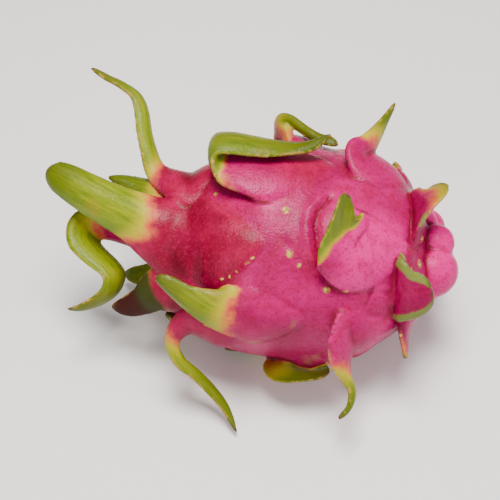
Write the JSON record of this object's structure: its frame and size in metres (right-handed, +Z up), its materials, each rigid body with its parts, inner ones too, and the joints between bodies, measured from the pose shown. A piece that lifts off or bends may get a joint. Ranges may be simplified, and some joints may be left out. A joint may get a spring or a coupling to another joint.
{
  "type": "dragon fruit",
  "caption": "Ripe dragon fruit lying on its side, a barrel-shaped body with long curling leafy scales, for food displays and kitchen scenes.",
  "frame": {"origin": "middle of the small flat spot that the fruit rests on", "axes": "+Z up from the surface it lies on, X along the fruit's own axis with the stem end towards +X and the flower end towards -X, and the pictured side towards -Y"},
  "size_m": [0.1742, 0.1428, 0.1053],
  "materials": {
    "skin": "waxy satin crimson-pink rind, turning yellow-green towards the tips of the scales"
  },
  "bodies": {
    "root": {"dragon_fruit": "skin"}
  },
  "joints": []
}
